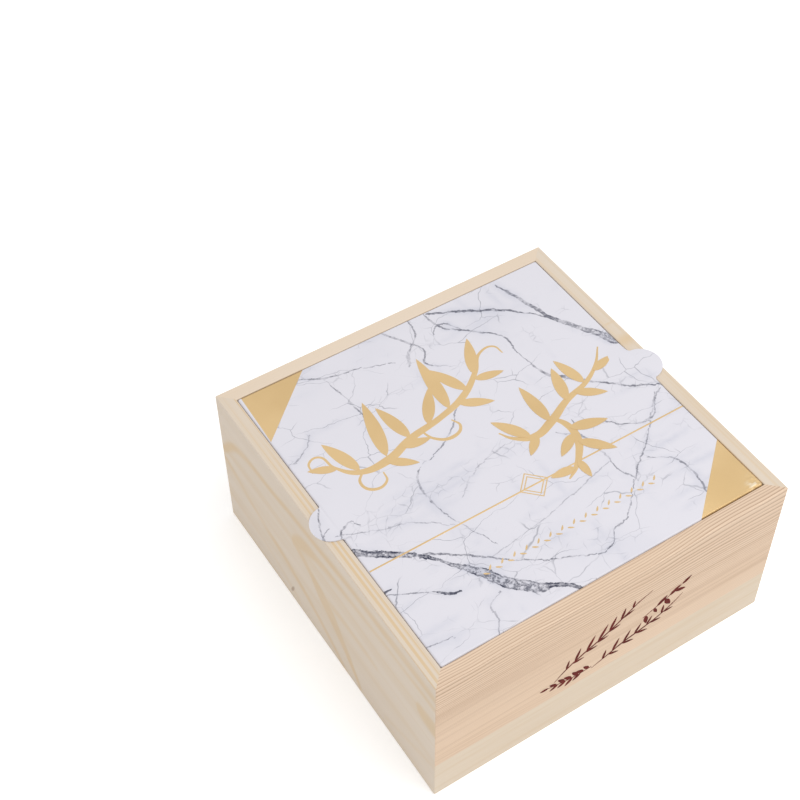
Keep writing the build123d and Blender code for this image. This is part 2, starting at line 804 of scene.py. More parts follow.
@dataclass(frozen=True)
class RimmedPine(PineFinish):
    """Pine of a wall, whose upper edge is painted paler than its faces, as painted top light.

    Attributes:
        rim: Height of the rim, in metres.
        rim_light_tint: What the wood's colour is multiplied by on the rim, to paint it lighter as
            if lit from above.
        rim_light_strength: How far the rim takes that painted light, from 0 to 1.
    """

    rim: float = 0.12
    rim_light_tint: Colour = (1.13, 1.15, 1.18)
    rim_light_strength: float = 1.0

    RIM_START, RIM_END = 0.0012, 0.0002  # where the painted rim light begins and is full, below the rim

    def on_rim(self, recipe: Recipe) -> Socket:
        """1 on the board's upper edge, 0 on its faces."""
        up = recipe.split(recipe.place)[2]
        return recipe.ease(up, self.rim - self.RIM_START, self.rim - self.RIM_END)

    def touch_up(self, recipe: Recipe, wood: Socket) -> Socket:
        """Paint the board's upper edge paler than its face: painted top light."""
        # Painted top light: the rim's colour is lifted by a tint, as if it caught more light than
        # the faces.
        tone = recipe.math("MULTIPLY", self.on_rim(recipe), self.rim_light_strength)
        return recipe.blend(tone, wood, recipe.vector("MULTIPLY", wood, self.rim_light_tint))


@dataclass(frozen=True)
class LinedPine(RimmedPine):
    """Pine whose growth rings cross the face as lines that fan out to the right.

    Attributes:
        face: How far the face is from the middle of the box, in metres.
        pivot: The height that the lines fan out from, in metres.
        fan: How much wider apart the lines are at the right, as a share per metre.
        rings: (height, ring) pairs as shares of the span and of the ring count.
        ring_count: How many rings cross the face.
        contrast: (height, darkness) pairs, as shares.
        span: The height that the shares cover, in metres.
    """

    face: float = 0.125
    pivot: float = 0.114
    fan: float = 1.2
    rings: Curve = ((0.0, 1.0), (0.5, 0.60), (0.75, 0.25), (1.0, 0.0))
    ring_count: float = 60.0
    contrast: Curve = ((0.0, 0.1), (0.6, 0.3), (1.0, 0.8))
    span: float = 0.16

    SWAY = 0.014  # how far the lines wander over the board, in metres
    RIPPLE = 0.003  # how far they waver from near to near, in metres
    SLOPE = -1.5  # how steeply the rings run on into the board
    SHARPNESS = 3.3  # how narrow the dark part of a ring is

    def figure(self, recipe: Recipe) -> Socket:
        """Lines that darken slowly towards each ring's sharp outer edge.

        Args:
            recipe: The material.

        Returns:
            The lines' darkness, from 0 to 1.
        """
        across, deep, up = recipe.split(recipe.place)
        shift = (self.seed, self.seed, self.seed)
        sway = recipe.noise(recipe.stretched(recipe.place, (7, 12, 16), shift), 1.0, 2.0, 0.45)
        ripple = recipe.noise(recipe.stretched(recipe.place, (26, 40, 60), shift), 1.0, 2.0, 0.5)
        spread = recipe.math("MULTIPLY_ADD", across, -self.fan, 1.0)
        height = recipe.math("MULTIPLY", recipe.math("SUBTRACT", up, self.pivot), spread)
        for wander, amount in ((sway, self.SWAY), (ripple, self.RIPPLE)):
            centred = recipe.math("SUBTRACT", wander, 0.5)
            height = recipe.math("MULTIPLY_ADD", centred, amount, height)
        inside = recipe.math("SUBTRACT", recipe.math("ABSOLUTE", deep), self.face)
        height = recipe.math("MULTIPLY_ADD", inside, self.SLOPE, height)
        share = recipe.math("MULTIPLY_ADD", height, 1.0 / self.span, self.pivot / self.span)
        ring = recipe.math("MULTIPLY", recipe.follow(share, self.rings), self.ring_count)
        within = recipe.math("FRACT", ring)
        late = recipe.math("MULTIPLY", within, recipe.ease(within, 0.93, 1.0, 1.0, 0.0))
        line = recipe.math("POWER", late, self.SHARPNESS)
        return recipe.math("MULTIPLY", line, recipe.follow(share, self.contrast))


@dataclass(frozen=True)
class ArchedPine(RimmedPine):
    """Flat-sawn pine, with a few broad soft bands that arch over the face.

    Attributes:
        corner: The box's front left foot, in metres.
        bands: The bands, followed from front to back and placed by their height.
        knot: The place and height of a pin knot in millimetres, or None.
        rim_lines: How dark the lines of the edge grain are on the rim, from 0 to 1.
        rim_light_tint: As for any wall, with a painted rim light of its own.
        rim_light_strength: As for any wall, a little weaker.
    """

    # Painted top light on the rim: its tint and its strength.
    rim_light_tint: Colour = (1.18, 1.19, 1.20)
    rim_light_strength: float = 0.85
    corner: Triple = (0.0, 0.0, 0.0)
    bands: tuple[Mark, ...] = ()
    knot: tuple[float, float] | None = None
    rim_lines: float = 0.5

    BAND_EDGE = (-2.8, 3.8)  # from where to where a band fades, in millimetres
    KNOT_SIZE = (1.3, 4.2)  # the knot's width and height, in millimetres
    KNOT_LEAN = 0.45  # how far it leans for its height
    KNOT_HEART = (0.23, 0.12, 0.06)

    def figure(self, recipe: Recipe) -> Socket:
        """The bands, with their course shaken a little, and the edge grain on the rim.

        Args:
            recipe: The material.

        Returns:
            Their darkness, from 0 to 1.
        """
        shares = shares_of(recipe, recipe.place, self.corner)
        shake = recipe.noise_vector(recipe.stretched(recipe.place, (20, 14, 40)), 1.0, 2.0, 0.5)
        shaken = recipe.vector("MULTIPLY_ADD", shake, (0.01, 0.02, 0.016), shares)
        _, deep, up = recipe.split(shaken)
        tones = [
            Mark.edge(recipe, band.distance(recipe, deep, up), *self.BAND_EDGE, band.depth, 0.0)
            for band in self.bands
        ]
        uneven = recipe.noise(recipe.stretched(recipe.place, (30, 12, 30)), 1.0, 2.0, 0.5)
        patchy = recipe.ease(uneven, 0.25, 0.6, 0.55, 1.0)
        bands = recipe.math("MULTIPLY", recipe.greatest(tones), patchy)
        lines = recipe.noise(recipe.stretched(recipe.place, (690, 3.0, 40)), 1.0, 1.0, 0.4)
        ends = recipe.ease(lines, 0.50, 0.62, 0.0, self.rim_lines)
        return recipe.math("MAXIMUM", bands, recipe.math("MULTIPLY", self.on_rim(recipe), ends))

    def touch_up(self, recipe: Recipe, wood: Socket) -> Socket:
        """Paint the rim paler and yellower than the faces as painted top light, and set the pin
        knot.

        Args:
            recipe: The material.
            wood: The wood's colour so far.

        Returns:
            The finished colour.
        """
        # Painted top light on the rim, as for any wall.
        wood = super().touch_up(recipe, wood)
        if self.knot is None:
            return wood
        _, deep, up = recipe.split(shares_of(recipe, recipe.place, self.corner))
        away_deep = recipe.math("SUBTRACT", deep, Mark.share(self.knot[0]))
        away_up = recipe.math("SUBTRACT", up, Mark.share(self.knot[1]))
        leaning = recipe.math("MULTIPLY_ADD", away_up, self.KNOT_LEAN, away_deep)
        wide = recipe.math("MULTIPLY", leaning, Mark.SPAN / self.KNOT_SIZE[0])
        tall = recipe.math("MULTIPLY", away_up, Mark.SPAN / self.KNOT_SIZE[1])
        squares = recipe.math("MULTIPLY_ADD", wide, wide, recipe.math("MULTIPLY", tall, tall))
        heart = recipe.ease(squares, 0.3, 1.9, 0.55, 0.0)
        return recipe.blend(heart, wood, self.KNOT_HEART)


@dataclass(frozen=True)
class CrackNet:
    """One size of the marble's hairline cracks.

    Attributes:
        scale: How fine the net is, per metre.
        longer: How much finer it is front to back than across.
        turn: The net's turn, in radians, which also shifts its patches.
        width: The cracks' width, as a share of a cell.
        patch: How fine the patches are in which the cracks show, per metre.
        depth: How dark they are, from 0 to 1, which also shifts their patches.
        by_veins: Whether they show only beside the veins.
    """

    scale: float
    longer: float
    turn: float
    width: float
    patch: float
    depth: float
    by_veins: bool = False


@dataclass(frozen=True)
class MarbleFinish:
    """A satin card printed with white marble.

    Attributes:
        name: The material's name.
        corner: The box's front left foot, in metres.
        veins: The main veins.
        stone: The white of the stone.
        shadow: Its cloudy grey.
        vein: The veins' darkest grey.
    """

    name: str
    corner: Triple
    veins: tuple[Mark, ...]
    stone: Colour = (0.745, 0.730, 0.785)
    shadow: Colour = (0.50, 0.52, 0.62)
    vein: Colour = (0.026, 0.030, 0.066)

    BEND, JITTER, SPLINTER = 0.014, 0.0075, 0.0034  # how far noise moves a vein, in shares
    SWIRL = 0.022  # how far noise moves a hairline, in metres
    LINE_EDGE = (-0.30, 0.30)  # from where to where a vein ends, in millimetres
    HEART_EDGE = (-2.8, -1.0)  # from where to where a wide vein's paler heart ends
    HAZE_EDGE = (-1.0, 6.0)  # from where to where its haze fades
    HAZE = 0.8  # the haze's share of the vein's depth
    HAIRLINE = 0.42  # a hairline's share of the cloudy grey
    TOOTH = 0.00001  # height of the card's tooth, in metres
    NETS = (
        CrackNet(13.0, 1.9, 0.4, 0.0050, 17.0, 0.80),
        CrackNet(27.0, 1.7, -0.7, 0.011, 26.0, 0.60),
        CrackNet(95.0, 1.3, 0.2, 0.045, 40.0, 0.75, by_veins=True),
    )

    def make(self) -> bpy.types.Material:
        """Build the material.

        Returns:
            The material.
        """
        recipe = Recipe(self.name)
        moved = shares_of(recipe, recipe.place, self.corner)
        for wander, amount in (
            (recipe.noise_vector(recipe.place, 60.0, 3.0, 0.6), self.BEND),
            (recipe.noise_vector(recipe.place, 300.0, 3.0, 0.65), self.JITTER),
            (recipe.shards(recipe.place, 170.0), self.SPLINTER),
        ):
            moved = recipe.vector("MULTIPLY_ADD", wander, (amount, amount, 0.0), moved)
        across, deep, _ = recipe.split(moved)
        grain = recipe.noise(recipe.place, 420.0, 3.0, 0.7)
        veins, halo = self._draw_veins(recipe, across, deep, grain)
        veins = recipe.math("MULTIPLY", veins, recipe.ease(grain, 0.36, 0.54, 0.55, 1.0))
        drift = recipe.noise(recipe.place, 26.0, 3.0, 0.6)
        clouds = recipe.math("MULTIPLY", halo, recipe.ease(drift, 0.42, 0.66, 0.0, 0.60))
        broad = recipe.ease(recipe.noise(recipe.place, 14.0, 3.0, 0.55), 0.48, 0.75, 0.0, 0.16)
        hairline = tuple(part * self.HAIRLINE for part in self.shadow)
        stone = recipe.blend(broad, self.stone, self.shadow)
        stone = recipe.blend(clouds, stone, self.shadow)
        stone = recipe.blend(self._draw_hairlines(recipe, drift, halo), stone, hairline)
        stone = recipe.blend(veins, stone, self.vein)
        recipe.relief(recipe.noise(recipe.place, 2600.0, 2.0, 0.5), self.TOOTH, 0.35)
        gloss = recipe.ease(grain, 0.3, 0.7, 0.34, 0.42)
        return recipe.finish(Base_Color=stone, Roughness=gloss, Specular_IOR_Level=0.45)

    def _draw_veins(
        self, recipe: Recipe, across: Socket, deep: Socket, grain: Socket
    ) -> tuple[Socket, Socket]:
        """The main veins, and the soft haze about them.

        Args:
            recipe: The material.
            across: Shares of the span to the right.
            deep: Shares of the span to the back.
            grain: Fine noise that mottles the heart of the wide veins.

        Returns:
            The veins' darkness and the haze's.
        """
        lines, hazes = [], []
        mottle = recipe.ease(grain, 0.40, 0.62, 0.10, 0.78)
        fading = recipe.ease(recipe.noise(recipe.place, 95.0, 3.0, 0.65), 0.36, 0.56, 0.34, 1.0)
        for vein in self.veins:
            along, aside = (across, deep) if vein.run is Run.ACROSS else (deep, across)
            outside = vein.distance(recipe, along, aside)
            line = Mark.edge(recipe, outside, *self.LINE_EDGE, vein.depth, 0.0)
            if vein.heavy:
                heart = Mark.edge(recipe, outside, *self.HEART_EDGE, 0.0, 1.0)
                edges = recipe.math("MULTIPLY", heart, fading)
                line = recipe.math("MULTIPLY", line, recipe.math("MAXIMUM", edges, mottle))
            elif vein.depth < Mark.LASTING:
                line = recipe.math("MULTIPLY", line, fading)
            lines.append(line)
            hazes.append(Mark.edge(recipe, outside, *self.HAZE_EDGE, self.HAZE * vein.depth, 0.0))
        return recipe.greatest(lines), recipe.greatest(hazes)

    def _draw_hairlines(self, recipe: Recipe, drift: Socket, halo: Socket) -> Socket:
        """A broken net of fine cracks in two sizes, and a third, finer one about the veins.

        Args:
            recipe: The material.
            drift: Broad noise that fades the net in places.
            halo: The haze about the veins.

        Returns:
            The net's darkness.
        """
        swirl = recipe.noise_vector(recipe.place, 24.0, 4.0, 0.6)
        reach = (self.SWIRL, self.SWIRL, 0.0)
        swirled = recipe.vector("MULTIPLY_ADD", swirl, reach, recipe.place)
        layers = []
        for net in self.NETS:
            scale = (net.scale, net.scale * net.longer, net.scale)
            cells = recipe.cracks(recipe.stretched(swirled, scale, turn=net.turn))
            line = recipe.ease(cells, 0.0, net.width, 1.0, 0.0)
            shifted = recipe.stretched(recipe.place, (1, 1, 1), (net.turn, net.depth, 0.0))
            patches = recipe.noise(shifted, net.patch, 2.0, 0.5)
            kept = recipe.ease(patches, 0.50, 0.62, 0.0, net.depth)
            if net.by_veins:
                kept = recipe.math("MULTIPLY", kept, halo)
            layers.append(recipe.math("MULTIPLY", line, kept))
        strength = recipe.ease(drift, 0.3, 0.5, 0.5, 1.0)
        return recipe.math("MULTIPLY", recipe.greatest(layers), strength)


@dataclass(frozen=True)
class FoilFinish:
    """Satin gold foil pressed onto card, softly creased at one corner of the lid, with painted
    glints on the creases and painted shade along the rolled front and back edges.

    Attributes:
        creased_corner: The corner where it is creased, in metres.
        name: The material's name.
        gold: Its gold.
        deep: The deeper gold of its sheen.
        painted_glint: The pale gold painted where a crease would catch the light: a painted
            highlight.
        shade: The brown gold painted on the rolled front and back edges: painted shade where they
            turn from the light.
        crease_reach: How far from the corner the creases reach, in metres.
        crease_depth: How deep the creases are, in metres.
    """

    creased_corner: Triple
    name: str = "gold_foil"
    gold: Colour = (0.87, 0.625, 0.325)
    deep: Colour = (0.74, 0.51, 0.24)
    painted_glint: Colour = (1.0, 0.87, 0.66)
    shade: Colour = (0.42, 0.27, 0.12)
    crease_reach: float = 0.0125
    crease_depth: float = 0.0011

    ROLL_START, ROLL_END = 0.0013, 0.0005  # where the painted edge shade begins and is full, from the edge
    SPECK = 0.000003  # height of the foil's specks, in metres

    def make(self) -> bpy.types.Material:
        """Build the material.

        Returns:
            The material.
        """
        recipe = Recipe(self.name)
        sheen = recipe.noise(recipe.place, 18.0, 3.0, 0.5)
        speck = recipe.noise(recipe.place, 900.0, 2.0, 0.6)
        tint = recipe.blend(recipe.ease(sheen, 0.4, 0.7, 0.0, 0.5), self.gold, self.deep)
        away = recipe.vector("SUBTRACT", recipe.place, self.creased_corner)
        side, end, _ = recipe.split(recipe.vector("MULTIPLY", away, away))
        squares = recipe.math("ADD", side, end)
        closeness = recipe.ease(squares, 0.0, self.crease_reach**2, 1.0, 0.0)
        folds = recipe.noise(recipe.stretched(recipe.place, (190, 420, 190)), 1.0, 1.0, 0.5)
        creases = recipe.math("MULTIPLY", closeness, folds)
        # Painted highlight: pale gold glints laid over the creases near the corner.
        painted_glints = recipe.math("MULTIPLY", closeness, recipe.ease(folds, 0.46, 0.64, 0.0, 1.0))
        tint = recipe.blend(painted_glints, tint, self.painted_glint)
        # Painted shade: the rolled front and back edges are darkened towards brown gold.
        off_middle = recipe.math("ABSOLUTE", recipe.split(recipe.place)[1])
        half = abs(self.creased_corner[1])
        rolled = recipe.ease(off_middle, half - self.ROLL_START, half - self.ROLL_END, 0.0, 0.7)
        tint = recipe.blend(rolled, tint, self.shade)
        specks = self.SPECK / self.crease_depth
        recipe.relief(recipe.math("MULTIPLY_ADD", speck, specks, creases), self.crease_depth)
        gloss = recipe.ease(speck, 0.3, 0.7, 0.34, 0.46)
        return recipe.finish(Base_Color=tint, Metallic=0.72, Roughness=gloss)


@dataclass(frozen=True)
class PlainFinish:
    """A matte finish with a fine uneven tone, for paper, board and print.

    Attributes:
        name: The material's name.
        light: Its lighter tone.
        dark: Its darker tone.
        grain: How fine its unevenness is, per metre.
        roughness: How matte it is.
        shine: How much it mirrors, with 0.5 as usual.
    """

    name: str
    light: Colour
    dark: Colour
    grain: float = 500.0
    roughness: float = 0.8
    shine: float = 0.5

    CLOUD_SIZE = 20.0  # how much broader the clouds are than the grain
    CLOUD_SHARE = 0.4  # the clouds' share of the unevenness
    TOOTH = 0.00002  # height of its tooth, in metres

    def make(self) -> bpy.types.Material:
        """Build the material.

        Returns:
            The material.
        """
        recipe = Recipe(self.name)
        fleck = recipe.noise(recipe.place, self.grain, 4.0, 0.65)
        cloud = recipe.noise(recipe.place, self.grain / self.CLOUD_SIZE, 2.0, 0.5)
        flecks = recipe.math("MULTIPLY", fleck, 1.0 - self.CLOUD_SHARE)
        tone = recipe.math("MULTIPLY_ADD", cloud, self.CLOUD_SHARE, flecks)
        recipe.relief(fleck, self.TOOTH, 0.4)
        colour = recipe.blend(recipe.ease(tone, 0.35, 0.65), self.light, self.dark)
        return recipe.finish(
            Base_Color=colour, Roughness=self.roughness, Specular_IOR_Level=self.shine
        )


# ---------------------------------------------------------------- the walls and what is inside


@dataclass
class PineBox:
    """The walls, base and ledges, which keep their CAD shapes and get their wood here.

    Attributes:
        nodes: The CAD nodes by name.
        sizes: The box's sizes.
        arches: The bands of the left wall's flat-sawn board.
    """

    nodes: dict[str, Thing]
    sizes: BoxSizes
    arches: tuple[Mark, ...] = (
        Mark(((-8, 109, 5), (89, 107, 5), (139, 102, 5), (181, 97, 5), (223, 93, 6), (240, 80, 6),
              (252, 66, 5))),
        Mark(((96, -4, 4), (119, 13, 5), (163, 34, 5), (206, 46, 5), (254, 64, 5)), depth=0.8),
        Mark(((-8, 98, 3), (89, 93, 4), (126, 88, 6), (148, 81, 11), (158, 73, 7)), depth=0.85),
        Mark(((84, 4, 4), (91, 16, 6), (100, 28, 7), (114, 44, 13), (131, 56, 12), (141, 65, 7),
              (158, 74, 6))),
        Mark(((60, 57, 2), (74, 58, 5), (100, 58, 6), (128, 53, 6)), depth=0.6),
        Mark(((-8, 36, 3), (30, 22, 3), (54, 12, 3)), depth=0.4),
        Mark(((158, 7, 4), (189, 19, 3), (248, 24, 3)), depth=0.4),
        Mark(((-8, 76, 16), (8, 76, 14), (18, 77, 5)), depth=0.8),
    )

    ALONG_X = (4.0, 330.0, 260.0)  # fibres of a board from left to right, per metre
    ALONG_Y = (420.0, 3.0, 60.0)  # fibres of a board from front to back, per metre
    PLY_FIBRES = (9.0, 210.0, 210.0)
    # the rings, their contrast and an even contrast, as LinedPine takes them
    RINGS = (
        (0.0, 1.0), (0.22, 0.83), (0.30, 0.73), (0.44, 0.515), (0.56, 0.325), (0.66, 0.224),
        (0.75, 0.167), (0.84, 0.08), (0.92, 0.0),
    )
    CONTRAST = (
        (0.0, 0.12), (0.34, 0.38), (0.45, 0.62), (0.55, 0.90), (0.66, 1.0), (0.745, 1.0),
        (0.78, 0.85), (1.0, 0.80),
    )
    EVEN = ((0.0, 0.22), (1.0, 0.22))
    # each wood's pale and dark colour
    ROSY = (0.704, 0.532, 0.386), (0.25, 0.12, 0.055)
    BLOND = (0.690, 0.570, 0.445), (0.69, 0.545, 0.40)
    CREAM = (0.657, 0.556, 0.438), (0.60, 0.455, 0.29)
    GREIGE = (0.630, 0.538, 0.440), (0.61, 0.455, 0.28)
    PLY = (0.70, 0.56, 0.39), (0.55, 0.39, 0.23)
    LEDGE_SEED = 20.0

    def turned_over(self) -> tuple[Mark, ...]:
        """The same bands end for end and upside down, for the other side's board.

        Returns:
            The bands.
        """
        height = self.sizes.rim / MM
        length = self.sizes.depth / MM
        turned = []
        for band in self.arches:
            points = tuple((length - along, height - up, w) for along, up, w in band.points)
            turned.append(Mark(points, band.run, band.depth))
        return tuple(turned)

    def dress(self) -> None:
        """Give every wooden node its own pine."""
        self._dress_lined(Wall.FRONT, 3.1, self.ROSY)
        self._dress_lined(Wall.BACK, 8.4, self.BLOND)
        self._dress_arched(Wall.LEFT, 5.7, self.arches, (166.0, 11.0), 1.0)
        self._dress_arched(Wall.RIGHT, 12.9, self.turned_over(), None, 0.35)
        for wall in Wall:
            fibres = self.ALONG_X if wall in (Wall.FRONT, Wall.BACK) else self.ALONG_Y
            name, seed = "ledge_" + wall.value, self.LEDGE_SEED + len(wall.value)
            self._finish(name, PineFinish(name + "_pine", *self.CREAM, fibres, seed))
        self._finish("base_panel", PineFinish("base_plywood", *self.PLY, self.PLY_FIBRES, 31.0))

    def _dress_lined(self, wall: Wall, seed: float, wood: tuple[Colour, Colour]) -> None:
        """Dress the two boards of the front or the back wall.

        Args:
            wall: Which wall.
            seed: The upper board's seed.
            wood: The upper board's pale and dark wood.
        """
        side, rim, face = wall.value, self.sizes.rim, self.sizes.depth / 2
        upper = LinedPine(
            side + "_upper_pine", *wood, self.ALONG_X, seed, 0.18, rim=rim,
            face=face, pivot=0.95 * rim, rings=self.RINGS, ring_count=64.0, contrast=self.CONTRAST,
        )
        self._finish(side + "_board_upper", upper)
        lower = LinedPine(
            side + "_lower_pine", *self.CREAM, self.ALONG_X, seed + 1.3, rim=rim,
            face=face, pivot=rim, rings=self.RINGS, ring_count=30.0, contrast=self.EVEN,
        )
        self._finish(side + "_board_lower", lower)

    def _dress_arched(
        self,
        wall: Wall,
        seed: float,
        bands: tuple[Mark, ...],
        knot: tuple[float, float] | None,
        rim_lines: float,
    ) -> None:
        """Dress the board of the left or the right wall.

        Args:
            wall: Which wall.
            seed: The board's seed.
            bands: Its bands.
            knot: The place and height of its pin knot in millimetres, or None.
            rim_lines: How dark the lines on its rim are.
        """
        board = ArchedPine(
            wall.value + "_pine", *self.GREIGE, self.ALONG_Y, seed, 0.22, rim=self.sizes.rim,
            corner=self.sizes.foot, bands=bands, knot=knot, rim_lines=rim_lines,
        )
        self._finish(wall.value + "_board", board)

    def _finish(self, name: str, pine: PineFinish) -> None:
        """Dress one node and report it."""
        dress(self.nodes[name], pine.make())
        log.info("pine box: %s in %s", name, pine.name)


# ---------------------------------------------------------------- the lid


@dataclass
class WrappedLid:
    """The lid's board wrapped in printed card: a panel with rolled edges that hugs the greyboard.

    Attributes:
        sizes: The box's sizes.
        wrap: Thickness of the card down the greyboard's edge.
        hug: Gap between the card and the greyboard's edge.
        rolled: Radius of the rolled top edge.
        corner: Radius of the corners seen from above.
        turn_up: How far the card's lower edge stops above the greyboard's underside.
        bend: How far inside a tab's root the lid's skin begins to bend up.
    """

    sizes: BoxSizes
    wrap: float = 0.00018
    hug: float = 0.00002
    rolled: float = 0.0013
    corner: float = 0.0014
    turn_up: float = 0.0001
    bend: float = 0.018

    CUTS = 11  # how many times the skin is cut each way, so that it can bend
    CUT_ALONG, CUT_ASIDE = 0.0018, 0.0036  # from cut to cut, in metres

    @property
    def half_width(self) -> float:
        """Half the wrapped lid's width."""
        return self.sizes.core_half_width + self.hug + self.wrap

    @property
    def half_depth(self) -> float:
        """Half the wrapped lid's depth."""
        return self.sizes.core_half_depth + self.hug + self.wrap

    def build(self) -> Thing:
        """Model the wrapped panel.

        Returns:
            The panel, with room for the greyboard underneath.
        """
        bottom = self.sizes.core_bottom + self.turn_up
        top = self.sizes.rim
        middle = (top + bottom) / 2
        bpy.ops.mesh.primitive_cube_add(
            size=1,
            location=(0, 0, middle),
            scale=(2 * self.half_width, 2 * self.half_depth, top - bottom),
        )
        panel = place_into_mesh(bpy.context.object, "lid_panel")
        with editing(panel):
            pick(Element.EDGES, lambda place, _: abs(place.z - middle) < TINY)
            bpy.ops.mesh.bevel(offset=self.corner, segments=6, affect="EDGES")
            pick(Element.EDGES, lambda place, _: place.z > top - TINY)
            bpy.ops.mesh.bevel(offset=self.rolled, segments=6, affect="EDGES", clamp_overlap=False)
            pick(Element.FACES, lambda place, normal: normal.z < -0.9)
            bpy.ops.mesh.inset(thickness=self.wrap, depth=0)
            rise = self.sizes.core_top - bottom + self.hug
            bpy.ops.mesh.extrude_region_move(TRANSFORM_OT_translate={"value": (0, 0, rise)})
        smooth(panel)
        return panel

    def lift_at_tabs(self, panel: Thing, half_root: float) -> None:
        """Bend the lid's skin gently up to where the finger tabs leave it.

        Args:
            panel: The wrapped panel.
            half_root: Half the length of a tab's root.
        """
        top, half = self.sizes.rim, self.half_width
        rise = self.sizes.tab_top - top
        low = self.sizes.core_bottom + self.turn_up
        ways = ((-1, 0), (1, 0), (0, -1), (0, 1))
        with editing(panel):
            for step in range(self.CUTS):
                along = half - self.CUT_ALONG * (step + 1)
                aside = self.CUT_ASIDE * (step + 0.15)
                for way_x, way_y in ways:
                    point = (way_x * along, way_y * aside, 0)
                    cut(point, (abs(way_x), abs(way_y), 0), TINY)
            pick(
                Element.CORNERS,
                lambda place, _: abs(place.x) > half - 0.002 and abs(place.y) < half_root,
            )
            bpy.ops.transform.translate(
                value=(0, 0, rise),
                use_proportional_edit=True,
                proportional_edit_falloff="SMOOTH",
                proportional_size=self.bend,
            )
            pick(Element.CORNERS, lambda place, _: place.z < (low + top) / 2)
            bpy.ops.transform.resize(value=(1, 1, 0), center_override=(0, 0, low))
        smooth(panel)


@dataclass
class FingerTab:
    """A half-round tab that leaves the lid's edge and lies over the rim.

    Attributes:
        sizes: The box's sizes.
        edge: How far from the middle the lid's edge is.
        thickness: Thickness of the card.
        hollow: Radius of the hollow corners where the tab leaves the lid.
        ramp: How far inside the lid's edge the tab's tail reaches.
        sink: How far the tail's end dips, to go under the lid's surface.
        eased: Radius along the tab's edges.
    """

    sizes: BoxSizes
    edge: float
    thickness: float = 0.0008
    hollow: float = 0.0015
    ramp: float = 0.0045
    sink: float = 0.00022
    eased: float = 0.00025

    ROUND_STEPS, HOLLOW_STEPS = 36, 5  # edges of the half round and of a hollow corner

    @property
    def half_root(self) -> float:
        """Half the length along which the tab leaves the lid's edge."""
        return math.sqrt((self.sizes.tab_tip - self.edge + self.hollow) ** 2 - self.hollow**2)

    def build(self) -> Thing:
        """Model the right-hand tab.

        Returns:
            The tab.
        """
        radius = self.sizes.tab_tip - self.edge
        top = self.sizes.tab_top
        reach = self.half_root
        turn = math.asin(self.hollow / (radius + self.hollow))
        bpy.ops.mesh.primitive_plane_add(size=0.001, location=(self.edge, -reach, top))
        tab = place_into_mesh(bpy.context.object, "finger_tab_right")
        with editing(tab):
            pick_all()
            bpy.ops.mesh.merge(type="CENTER")
            hollow, hollow_x = turn - math.pi / 2, self.edge + self.hollow
            self._swing(hollow, Vector((hollow_x, -reach, top)), self.HOLLOW_STEPS)
            self._swing(math.pi - 2 * turn, Vector((self.edge, 0, top)), self.ROUND_STEPS)
            self._swing(hollow, Vector((hollow_x, reach, top)), self.HOLLOW_STEPS)
            bpy.ops.mesh.extrude_region_move(TRANSFORM_OT_translate={"value": (-self.ramp, 0, 0)})
            bpy.ops.mesh.extrude_region_move(TRANSFORM_OT_translate={"value": (0, -2 * reach, 0)})
            pick_all()
            bpy.ops.mesh.edge_face_add()
            pick_all()
            bpy.ops.mesh.remove_doubles(threshold=MERGE)
            bpy.ops.mesh.normals_make_consistent(inside=False)
            face_up()
            cut((self.edge, 0, top), (1, 0, 0), MERGE)
            foot = self.edge - self.ramp
            pick(Element.CORNERS, lambda place, _: place.x < foot + TINY)
            bpy.ops.transform.translate(value=(0, 0, -self.sink))
        thicken(tab, self.thickness, offset=-1.0)
        with editing(tab):
            pick(
                Element.EDGES,
                lambda place, _: place.x > self.edge + TINY and place.z > top - TINY,
            )
            bpy.ops.mesh.bevel(offset=self.eased, segments=3, affect="EDGES")
        smooth(tab)
        return tab

    def _swing(self, angle: float, centre: Vector, steps: int) -> None:
        """Draw an arc from the chosen corner.

        Args:
            angle: How far it turns, in radians, counter-clockwise if it is positive.
            centre: The arc's centre.
            steps: How many edges make it.
        """
        bpy.ops.mesh.spin(
            steps=steps, angle=-angle, center=centre, axis=(0, 0, 1), use_auto_merge=False
        )


# ---------------------------------------------------------------- foil and print artwork


@dataclass(frozen=True)
class BrushStroke:
    """A flat stroke whose width swells and thins along its way.

    Attributes:
        points: (across, deep, width) at each point, in millimetres.
    """

    points: tuple[Triple, ...]

    def build(self, name: str, origin: Vector, flatness: float) -> Thing:
        """Draw the stroke as a curve, then flatten it into a thin lens of foil or ink.

        Args:
            name: The piece's name.
            origin: Where the millimetres start, at the surface's height.
            flatness: The stroke's thickness as a share of its width.

        Returns:
            The stroke's mesh.
        """
        bpy.ops.curve.primitive_bezier_curve_add(location=(0, 0, 0))
        drawn = bpy.context.object
        drawn.data.dimensions = "3D"
        drawn.data.resolution_u = 10
        drawn.data.bevel_depth = 0.5 * MM
        drawn.data.bevel_resolution = 3
        drawn.data.use_fill_caps = True
        line = drawn.data.splines[0]
        line.bezier_points.add(len(self.points) - 2)
        for knot, (across, deep, width) in zip(line.bezier_points, self.points):
            knot.co = (across * MM, deep * MM, 0)
            knot.handle_left_type = "AUTO"
            knot.handle_right_type = "AUTO"
            knot.radius = width
        choose_only(drawn)
        bpy.ops.object.convert(target="MESH")
        stroke = bpy.context.object
        with editing(stroke):
            pick_all()
            bpy.ops.transform.resize(value=(1, 1, flatness))
            bpy.ops.transform.translate(value=origin)
        smooth(stroke, 60.0)
        return place_into_mesh(stroke, name)


